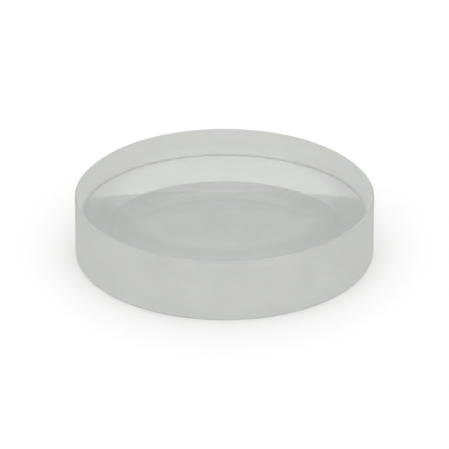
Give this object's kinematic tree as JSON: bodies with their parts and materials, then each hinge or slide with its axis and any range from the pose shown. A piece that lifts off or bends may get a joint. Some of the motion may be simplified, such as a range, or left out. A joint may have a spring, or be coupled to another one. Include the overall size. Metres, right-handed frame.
{
  "type": "biconcave lens",
  "caption": "Round biconcave singlet lens of clear optical glass with polished hollow faces, a straight fine-ground edge and narrow bevelled rims.",
  "frame": {"origin": "on the optical axis, in the plane of the lower rim that the lens rests on", "axes": "+Z along the optical axis, away from the table; X and Y lie in the plane of the lower rim"},
  "size_m": [0.0254, 0.0254, 0.0055],
  "materials": {
    "optical_glass": "polished faces, fine-ground edge and bevels"
  },
  "bodies": {
    "root": {"lens": "optical_glass"}
  },
  "joints": []
}
